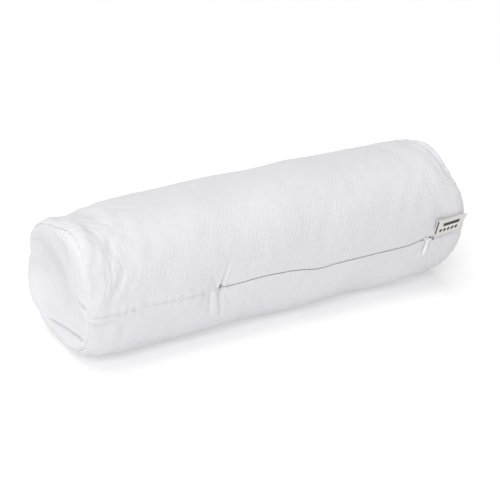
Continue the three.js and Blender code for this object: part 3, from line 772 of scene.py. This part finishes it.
def add_casing_end(side, word, row, relief):
    """One end disc of the casing, which keeps clear of the cover's end panel, and its stitching."""
    centre = np.array([side * CASING_RIM, 0.0, AXIS_HEIGHT])
    rings = []
    for q in np.linspace(0.03, 0.985, 22):
        ring = centre + q * (row - centre)
        depth = relief(ring[:, 1], ring[:, 2])
        push = 0.85 * depth if side < 0 else 6.0 * (1 - q * q) + 0.5 * np.abs(depth)
        ring[:, 0] = side * CASING_RIM + (1 - q ** 6) * push
        rings.append(ring)
    points = np.array(rings)
    faces = disc_faces(side, *points.shape[:2])
    disc = make_object(f"casing_cloth_end_{word}", points, faces, points[..., 1:])
    thicken(disc, CASING_CLOTH)
    finish_piece(disc, "cover", "casing_fabric", f"casing_end_{word}")
    path = centre + 0.97 * (row - centre)
    path[:, 0] = side * (CASING_RIM - 5)
    loop = tube(f"casing_stitching_{word}", path * [1, 0.97, 1], 0.25, closed=True)
    finish_piece(loop, "cover", "sewing_thread", f"casing_end_thread_{word}")


def add_casing():
    points, _ = inner_tube(CASING_RIM, 20.0, 9.0, 3.6)
    faces = grid_faces(*points.shape[:2], wrap_columns=True)
    piece = make_object("casing_cloth_body", points, faces, points[..., :2])
    thicken(piece, CASING_CLOTH)
    finish_piece(piece, "cover", "casing_fabric", "casing_body")
    add_casing_end(-1, "left", points[0], left_relief)
    add_casing_end(1, "right", points[-1], right_relief)
    x = np.arange(-188, 188, 2.0)
    closing = tube("casing_closing_stitches", body_point(x, np.full(x.shape, GIRTH * 0.75), 2.9), 0.25)
    finish_piece(closing, "cover", "sewing_thread", "casing_closing_thread")


def add_filling():
    points, b = inner_tube(190.0, 30.0, 16.0, 5.4)
    rng = np.random.default_rng(9)
    lumps = 0.8 * (1 + waves(points[..., 0], b[None, :], rng, 12, 12, 40)) * 0.5
    away = points - [0, 0, AXIS_HEIGHT]
    away[..., 0] = 0
    points = points - lumps[..., None] * away / np.linalg.norm(away, axis=-1)[..., None]
    rows, columns = points.shape[:2]
    faces = grid_faces(rows, columns, wrap_columns=True)
    faces.append(tuple(reversed(range(columns))))
    faces.append(tuple(range((rows - 1) * columns, rows * columns)))
    piece = make_object("fibre_filling", points, faces)
    finish_piece(piece, "cover", "fibre", "fibre_fill")


# ---- Materials ----
class Graph:
    """Short calls for building the nodes of a material or a world, and for its output shader."""

    def __init__(self, owner, shader):
        owner.use_nodes = True
        self.tree = owner.node_tree
        self.shader = self.tree.nodes[shader]

    def add(self, kind, inputs=(), **settings):
        node = self.tree.nodes.new(kind)
        for key, value in settings.items():
            setattr(node, key, value)
        for key, value in dict(inputs).items():
            if isinstance(value, bpy.types.NodeSocket):
                self.tree.links.new(value, node.inputs[key])
            else:
                node.inputs[key].default_value = value
        return node

    def math(self, operation, a, b=0.0, c=0.0):
        return self.add("ShaderNodeMath", {0: a, 1: b, 2: c}, operation=operation).outputs[0]

    def mix(self, factor, first, second):
        node = self.add("ShaderNodeMix", {"Factor": factor}, data_type="RGBA")
        for key, value in ((6, first), (7, second)):
            if isinstance(value, bpy.types.NodeSocket):
                self.tree.links.new(value, node.inputs[key])
            else:
                node.inputs[key].default_value = (*value, 1)
        return node.outputs[2]

    def link(self, output, key):
        self.tree.links.new(output, self.shader.inputs[key])

    def bump(self, height, strength, distance):
        node = self.add("ShaderNodeBump", {"Height": height, "Strength": strength, "Distance": distance * MM})
        self.link(node.outputs[0], "Normal")

    def spread(self, value, **limits):
        """Maps value from one range to another. The limits are from_min, from_max, to_min and to_max."""
        inputs = {key.replace("_", " ").title(): limit for key, limit in limits.items()}
        return self.add("ShaderNodeMapRange", {"Value": value, **inputs}).outputs[0]

    def cloth_xy(self):
        place = self.add("ShaderNodeUVMap", uv_map="cloth").outputs[0]
        split = self.add("ShaderNodeSeparateXYZ", {0: place})
        return place, split.outputs[0], split.outputs[1]

    def noise(self, where, scale, detail=2.0, roughness=0.5):
        inputs = {"Vector": where, "Scale": scale, "Detail": detail, "Roughness": roughness}
        return self.add("ShaderNodeTexNoise", inputs).outputs[0]


RIB_PITCH = 4.8
YARN_PITCH = 0.62


class Nodes(Graph):
    """The nodes of one new material."""

    def __init__(self, name):
        self.material = bpy.data.materials.new(name)
        super().__init__(self.material, "Principled BSDF")


def cover_fabric():
    """White cotton with broken diagonal ribs. Its map is in millimetres along and up the cloth."""
    m = Nodes("cover_fabric")
    place, x, s = m.cloth_xy()
    warp = m.noise(place, 0.2, 2.0)
    broken = m.noise(place, 0.16, 2.0, 0.6)
    lean = m.math("MULTIPLY_ADD", x, 0.9, m.math("MULTIPLY", s, -0.42))
    bent = m.math("MULTIPLY_ADD", warp, 6.0, lean)
    rib = m.math("SINE", m.math("MULTIPLY", bent, 2 * math.pi / RIB_PITCH))
    cut = m.spread(broken, from_min=0.42, from_max=0.62)
    ribs = m.math("MULTIPLY", m.math("MAXIMUM", rib, -0.2), cut)
    yarn_x = m.math("SINE", m.math("MULTIPLY", x, 2 * math.pi / YARN_PITCH))
    yarn_s = m.math("SINE", m.math("MULTIPLY", s, 2 * math.pi / YARN_PITCH))
    yarn = m.math("MULTIPLY", yarn_x, yarn_s)
    from_back = m.math("ABSOLUTE", m.math("ADD", s, GIRTH / 2))
    from_seam = m.math("SUBTRACT", GIRTH / 2, from_back)
    taut = m.spread(from_seam, from_max=110.0, to_min=1.0, to_max=0.4)
    height = m.math("MULTIPLY_ADD", yarn, 0.12, m.math("MULTIPLY", ribs, taut))
    m.bump(height, 0.75, 0.34)
    tone = m.math("MULTIPLY_ADD", ribs, 0.10, m.math("MULTIPLY", m.noise(place, 0.02, 3.0), 0.5))
    m.link(m.mix(tone, (0.695, 0.69, 0.72), (0.765, 0.76, 0.79)), "Base Color")
    rough = m.math("MULTIPLY_ADD", ribs, -0.04, 0.9)
    m.link(rough, "Roughness")
    m.shader.inputs["Sheen Weight"].default_value = 0.25
    m.shader.inputs["Sheen Roughness"].default_value = 0.5
    m.shader.inputs["Specular IOR Level"].default_value = 0.2
    return m.material


def plain_weave(name, dark, light, pitch, strength, on_map=True):
    """A plain weave, laid on the piece's map in millimetres or, for a thread, on its own space."""
    m = Nodes(name)
    if on_map:
        place, x, s = m.cloth_xy()
    else:
        place = m.add("ShaderNodeTexCoord").outputs["Object"]
        place = m.add("ShaderNodeVectorMath", {0: place, "Scale": 1 / MM}, operation="SCALE").outputs[0]
        split = m.add("ShaderNodeSeparateXYZ", {0: place})
        x, s = split.outputs[0], split.outputs[2]
    across = m.math("SINE", m.math("MULTIPLY", x, 2 * math.pi / pitch))
    along = m.math("SINE", m.math("MULTIPLY", s, 2 * math.pi / pitch))
    weave = m.math("MULTIPLY", across, along)
    m.bump(weave, strength, 0.2)
    blotch = m.noise(place, 0.15, 3.0)
    tone = m.math("MULTIPLY_ADD", weave, 0.15, blotch)
    m.link(m.mix(tone, dark, light), "Base Color")
    m.link(m.math("MULTIPLY_ADD", blotch, 0.08, 0.86), "Roughness")
    m.shader.inputs["Sheen Weight"].default_value = 0.15
    return m.material


def fibre():
    m = Nodes("fibre")
    place = m.add("ShaderNodeTexCoord").outputs["Object"]
    strands = m.noise(place, 260.0, 6.0, 0.7)
    m.bump(strands, 0.8, 1.2)
    m.link(m.mix(strands, (0.80, 0.80, 0.79), (0.95, 0.95, 0.94)), "Base Color")
    m.link(m.math("MULTIPLY_ADD", strands, 0.1, 0.85), "Roughness")
    return m.material


def smooth_finish(name, dark, light, roughness, coat):
    """Nylon or enamel: near flat, with a faint ripple and a little soil in the colour."""
    m = Nodes(name)
    place = m.add("ShaderNodeTexCoord").outputs["Object"]
    ripple = m.noise(place, 900.0, 2.0)
    soil = m.noise(place, 160.0, 4.0, 0.6)
    m.bump(ripple, 0.08, 0.1)
    m.link(m.mix(soil, dark, light), "Base Color")
    m.link(m.math("MULTIPLY_ADD", soil, 0.15, roughness), "Roughness")
    m.shader.inputs["Coat Weight"].default_value = coat
    m.shader.inputs["Coat Roughness"].default_value = 0.08
    return m.material


def band(m, value, low, high, soft=0.12):
    """One inside low to high and nought outside."""
    rise = m.spread(value, from_min=low - soft, from_max=low + soft)
    fall = m.spread(value, from_min=high + soft, from_max=high - soft)
    return m.math("MULTIPLY", rise, fall)


def label_weave():
    """Satin label with a bar and a row of lozenges in place of any mark, and a near-black strip of painted
    shade at its left end, standing for the gap inside its fold.
    """
    m = Nodes("label_weave")
    place, x, v = m.cloth_xy()
    weft = m.math("SINE", m.math("MULTIPLY", v, 2 * math.pi / 0.35))
    warp = m.math("SINE", m.math("MULTIPLY", x, 2 * math.pi / 0.28))
    m.bump(m.math("MULTIPLY_ADD", weft, 0.6, m.math("MULTIPLY", warp, 0.3)), 0.4, 0.08)
    tone = m.math("MULTIPLY_ADD", weft, 0.12, m.noise(place, 0.5, 3.0))
    ground = m.mix(tone, (0.62, 0.605, 0.575), (0.78, 0.76, 0.73))
    # edge: painted shade, a near-black strip at the label's left end where the gap between the fold's layers
    # lies
    edge = m.math("MULTIPLY", band(m, x, 0.5, 2.4), band(m, v, 3.4, 17.0))
    bar = m.math("MULTIPLY", band(m, x, 9.0, 30.5), band(m, v, 10.4, 13.8))
    pitch, middle = 5.2, 6.2
    cell = m.math("SUBTRACT", m.math("FRACT", m.math("DIVIDE", x, pitch)), 0.5)
    offset = m.math("ABSOLUTE", m.math("MULTIPLY", cell, pitch))
    rise = m.math("ABSOLUTE", m.math("SUBTRACT", v, middle))
    inside = m.math("LESS_THAN", m.math("ADD", offset, rise), 2.2)
    lozenges = m.math("MULTIPLY", inside, band(m, x, 5.2, 31.2))
    # The printed bar and lozenges, together with the painted shade at the left end, all in near black
    print_and_painted_shade = m.math("MAXIMUM", edge, m.math("MAXIMUM", bar, lozenges))
    m.link(m.mix(print_and_painted_shade, ground, (0.012, 0.012, 0.014)), "Base Color")
    m.link(m.math("MULTIPLY_ADD", tone, 0.1, 0.55), "Roughness")
    m.shader.inputs["Sheen Weight"].default_value = 0.2
    return m.material


def backdrop():
    m = Nodes("backdrop")
    place = m.add("ShaderNodeTexCoord").outputs["Object"]
    m.link(m.mix(m.noise(place, 3.0), (0.71, 0.71, 0.71), (0.73, 0.73, 0.73)), "Base Color")
    m.shader.inputs["Roughness"].default_value = 0.9
    m.shader.inputs["Emission Color"].default_value = (1, 1, 1, 1)
    m.shader.inputs["Emission Strength"].default_value = 0.32
    return m.material


MATERIALS = {
    "cover_fabric": cover_fabric(),
    "casing_fabric": plain_weave("casing_fabric", (0.78, 0.77, 0.73), (0.90, 0.89, 0.86), 0.8, 0.4),
    "fibre": fibre(),
    "sewing_thread": plain_weave("sewing_thread", (0.78, 0.78, 0.80), (0.92, 0.92, 0.94), 0.9, 0.3, False),
    "zip_tape": plain_weave("zip_tape", (0.76, 0.76, 0.78), (0.90, 0.90, 0.91), 1.1, 0.5),
    "zip_nylon": smooth_finish("zip_nylon", (0.80, 0.80, 0.81), (0.92, 0.92, 0.93), 0.28, 0.2),
    "slider_enamel": smooth_finish("slider_enamel", (0.82, 0.82, 0.83), (0.93, 0.93, 0.94), 0.18, 0.7),
    "label_weave": label_weave(),
}


# ---- Studio ----
CAMERA_AZIMUTH = math.radians(-30.46)
CAMERA_ELEVATION = math.radians(23.16)
CAMERA_DISTANCE = 1609.9
CAMERA_ACROSS = -1.06  # how far the camera is shifted to its right, and up
CAMERA_UP = 59.99
CAMERA_LENS = 105.64


def add_camera():
    back = Vector((
        math.sin(CAMERA_AZIMUTH) * math.cos(CAMERA_ELEVATION),
        -math.cos(CAMERA_AZIMUTH) * math.cos(CAMERA_ELEVATION),
        math.sin(CAMERA_ELEVATION),
    ))
    right = Vector((math.cos(CAMERA_AZIMUTH), math.sin(CAMERA_AZIMUTH), 0))
    up = back.cross(right)
    place = right * CAMERA_ACROSS + up * CAMERA_UP + back * CAMERA_DISTANCE - Vector((0, 0, SETTLE))
    data = bpy.data.cameras.new("camera")
    data.lens = CAMERA_LENS
    data.sensor_width = 36
    camera = bpy.data.objects.new("camera", data)
    turn = Matrix((right, up, back)).transposed().to_4x4()
    camera.matrix_world = Matrix.Translation(place * MM) @ turn
    bpy.context.scene.collection.objects.link(camera)
    bpy.context.scene.camera = camera


def add_sun(name, direction, spread, strength):
    """A broad soft light from one direction."""
    data = bpy.data.lights.new(name, "SUN")
    data.angle = math.radians(spread)
    data.energy = strength
    lamp = bpy.data.objects.new(name, data)
    lamp.rotation_euler = Vector(direction).to_track_quat("Z", "Y").to_euler()
    bpy.context.scene.collection.objects.link(lamp)


def add_lamp(name, place, target, size, power):
    """A round soft box, near enough for its light to fall off along the roll."""
    data = bpy.data.lights.new(name, "AREA")
    data.shape = "DISK"
    data.size = size
    data.energy = power
    lamp = bpy.data.objects.new(name, data)
    lamp.location = place
    lamp.rotation_euler = (Vector(target) - Vector(place)).to_track_quat("-Z", "Y").to_euler()
    bpy.context.scene.collection.objects.link(lamp)


def add_floor():
    side = 60.0
    corners = [(-side, -side, 0), (side, -side, 0), (side, side, 0), (-side, side, 0)]
    mesh = bpy.data.meshes.new("floor")
    mesh.from_pydata(corners, [], [(0, 1, 2, 3)])
    floor = bpy.data.objects.new("floor", mesh)
    floor.data.materials.append(backdrop())
    bpy.context.scene.collection.objects.link(floor)


def add_world():
    """White all round: brighter towards -X, and bright at the horizon, where the floor ends."""
    world = bpy.data.worlds.new("studio")
    g = Graph(world, "Background")
    g.shader.inputs["Color"].default_value = (1.0, 1.0, 1.0, 1)
    sky = g.add("ShaderNodeTexCoord").outputs["Generated"]
    split = g.add("ShaderNodeSeparateXYZ", {0: sky})
    fall = g.spread(split.outputs[0], from_min=-1, from_max=1, to_min=0.69, to_max=0.12)
    height = g.math("ABSOLUTE", split.outputs[2])
    horizon = g.spread(height, from_min=0.05, from_max=0.03, to_min=0.0, to_max=0.95)
    g.link(g.math("MAXIMUM", fall, horizon), "Strength")
    bpy.context.scene.world = world


add_camera()
add_floor()
add_world()
add_sun("top", (-0.12, 0.10, 1.0), 60, 1.60)
add_lamp("key", (-0.85, -1.15, 1.10), (0, 0, 0.07), 0.7, 10.5)
bpy.context.scene.view_settings.view_transform = "Standard"
PUCKERS = simulate_body()
add_cover_body()
add_cover_end(-1, "left", left_relief)
add_cover_end(1, "right", right_relief)
add_threads()
add_tapes()
add_coils()
add_hardware()
add_label()
add_casing()
add_filling()
